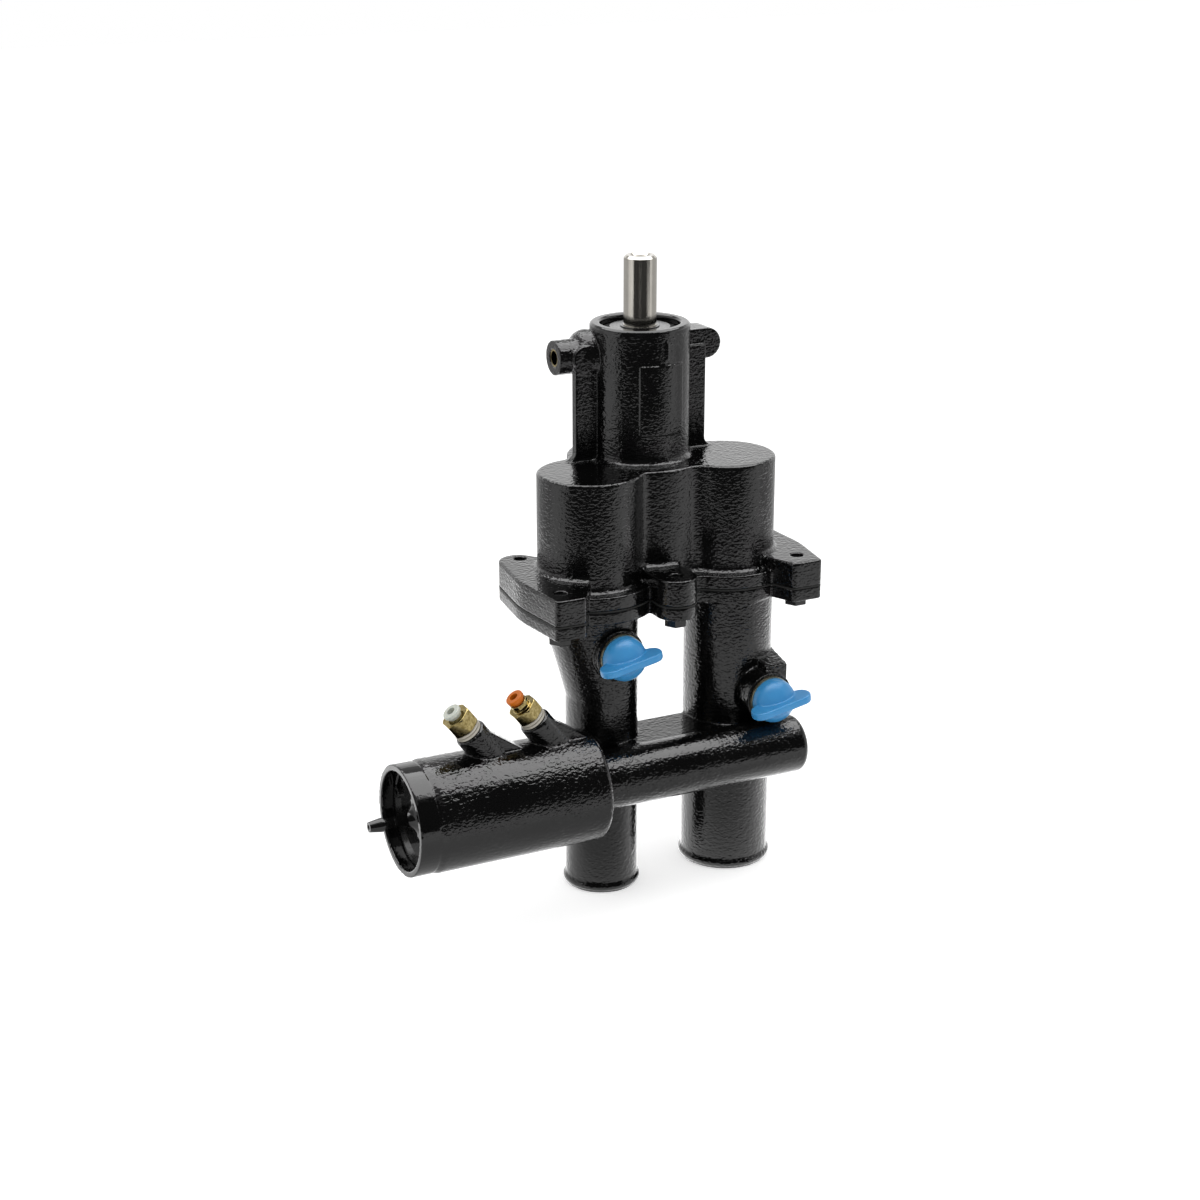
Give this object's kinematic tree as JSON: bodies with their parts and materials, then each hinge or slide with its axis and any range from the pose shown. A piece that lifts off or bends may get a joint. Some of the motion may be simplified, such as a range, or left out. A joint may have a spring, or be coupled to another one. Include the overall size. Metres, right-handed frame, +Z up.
{
  "type": "engine seawater pump",
  "caption": "Engine seawater pump with a shaft-driven rubber impeller in a lobed housing, hose legs below it and an air-operated drain valve across them.",
  "frame": {"origin": "on the drive shaft's axis at the rim of the housing tube", "axes": "+Z up along the drive shaft, towards its free end; -Y towards the drain plugs and the drain cylinder; -X towards the drain cylinder's end cap and the outlet leg"},
  "size_m": [0.242, 0.1451, 0.304],
  "materials": {
    "cast_black": "gloss black paint over a rough casting",
    "shaft_steel": "ground stainless steel",
    "bearing_steel": "ground steel",
    "ring_white": "off-white nylon",
    "bearing_dark": "blackened steel",
    "screw_black": "hex screws painted over with the casting",
    "seal_rubber": "matte black rubber",
    "impeller_rubber": "matte black rubber",
    "gasket_fibre": "pressed fibre sheet",
    "brass": "machined brass",
    "bronze": "machined bronze",
    "seal_ceramic": "lapped ceramic",
    "plug_blue": "satin blue moulding",
    "collet_orange": "orange moulding",
    "collet_grey": "pale grey moulding",
    "cap_black": "gloss black paint over a smooth turned cap",
    "piston_nylon": "dark nylon moulding"
  },
  "bodies": {
    "housing": {"pump_body": "cast_black", "drain_housing": "cast_black", "flange_gasket": "gasket_fibre", "flange_screws": "screw_black", "bearing_outer_ring": "bearing_dark", "bearing_top_seal": "bearing_steel", "bearing_bottom_seal": "seal_rubber", "shaft_seal": "seal_rubber", "impeller_cam": "brass", "wear_plate": "shaft_steel", "arm_bush": "brass", "cylinder_end_cap": "cap_black", "end_cap_seal": "seal_rubber", "cap_snap_ring": "bearing_steel", "rod_guide": "bronze", "outer_fitting_body": "brass", "outer_fitting_seal": "seal_rubber", "outer_fitting_ring": "ring_white", "inner_fitting_body": "brass", "inner_fitting_seal": "seal_rubber", "inner_fitting_ring": "ring_white"},
    "rotor": {"drive_shaft": "shaft_steel", "bearing_slinger": "bearing_steel", "water_deflector": "seal_rubber", "seal_ring": "seal_ceramic", "impeller": "impeller_rubber", "impeller_insert": "brass"},
    "ball_row": {"bearing_balls": "bearing_steel", "ball_cage": "bearing_steel"},
    "roller_row": {"bearing_rollers": "bearing_steel", "roller_cage": "bearing_steel"},
    "drain_valve": {"drain_piston": "piston_nylon", "piston_seal": "seal_rubber", "valve_rod": "bronze"},
    "outlet_washer": {"outlet_plug_washer": "bronze"},
    "outlet_plug": {"outlet_drain_plug": "plug_blue"},
    "inlet_washer": {"inlet_plug_washer": "bronze"},
    "inlet_plug": {"inlet_drain_plug": "plug_blue"},
    "outer_collet": {"outer_fitting_collet": "collet_grey"},
    "inner_collet": {"inner_fitting_collet": "collet_orange"}
  },
  "joints": [
    {"name": "shaft_spin", "type": "hinge", "parent": "housing", "child": "rotor", "pos_m": [0, 0, 0], "axis": [0, 0, 1], "continuous": true},
    {"name": "ball_cage_spin", "type": "hinge", "parent": "housing", "child": "ball_row", "pos_m": [0, 0, 0], "axis": [0, 0, 1], "continuous": true},
    {"name": "roller_cage_spin", "type": "hinge", "parent": "housing", "child": "roller_row", "pos_m": [0, 0, 0], "axis": [0, 0, 1], "continuous": true},
    {"name": "drain_valve_slide", "type": "slide", "parent": "housing", "child": "drain_valve", "axis": [1, 0, 0], "range_m": [0, 0.0095]},
    {"name": "outlet_plug_travel", "type": "slide", "parent": "housing", "child": "outlet_washer", "axis": [0, -1, 0], "range_m": [0, 0.012]},
    {"name": "outlet_plug_turn", "type": "hinge", "parent": "outlet_washer", "child": "outlet_plug", "pos_m": [-0.03475, -0.0492, -0.148], "axis": [0, -1, 0], "range_deg": [0, 2160]},
    {"name": "inlet_plug_travel", "type": "slide", "parent": "housing", "child": "inlet_washer", "axis": [0, -1, 0], "range_m": [0, 0.012]},
    {"name": "inlet_plug_turn", "type": "hinge", "parent": "inlet_washer", "child": "inlet_plug", "pos_m": [0.04, -0.062, -0.1777], "axis": [0, -1, 0], "range_deg": [0, 2160]},
    {"name": "outer_collet_push", "type": "slide", "parent": "housing", "child": "outer_collet", "axis": [0.6018, 0, -0.7986], "range_m": [0, 0.001], "stiffness_N_per_m": 2000, "springref_m": -0.0005},
    {"name": "inner_collet_push", "type": "slide", "parent": "housing", "child": "inner_collet", "axis": [0.6018, 0, -0.7986], "range_m": [0, 0.001], "stiffness_N_per_m": 2000, "springref_m": -0.0005}
  ],
  "couplings": [
    {"joint": "ball_cage_spin", "follows": "shaft_spin", "ratio": 0.3283},
    {"joint": "roller_cage_spin", "follows": "shaft_spin", "ratio": 0.3433},
    {"joint": "outlet_plug_turn", "follows": "outlet_plug_travel", "rad_per_m": 3141.5},
    {"joint": "inlet_plug_turn", "follows": "inlet_plug_travel", "rad_per_m": 3141.5}
  ]
}
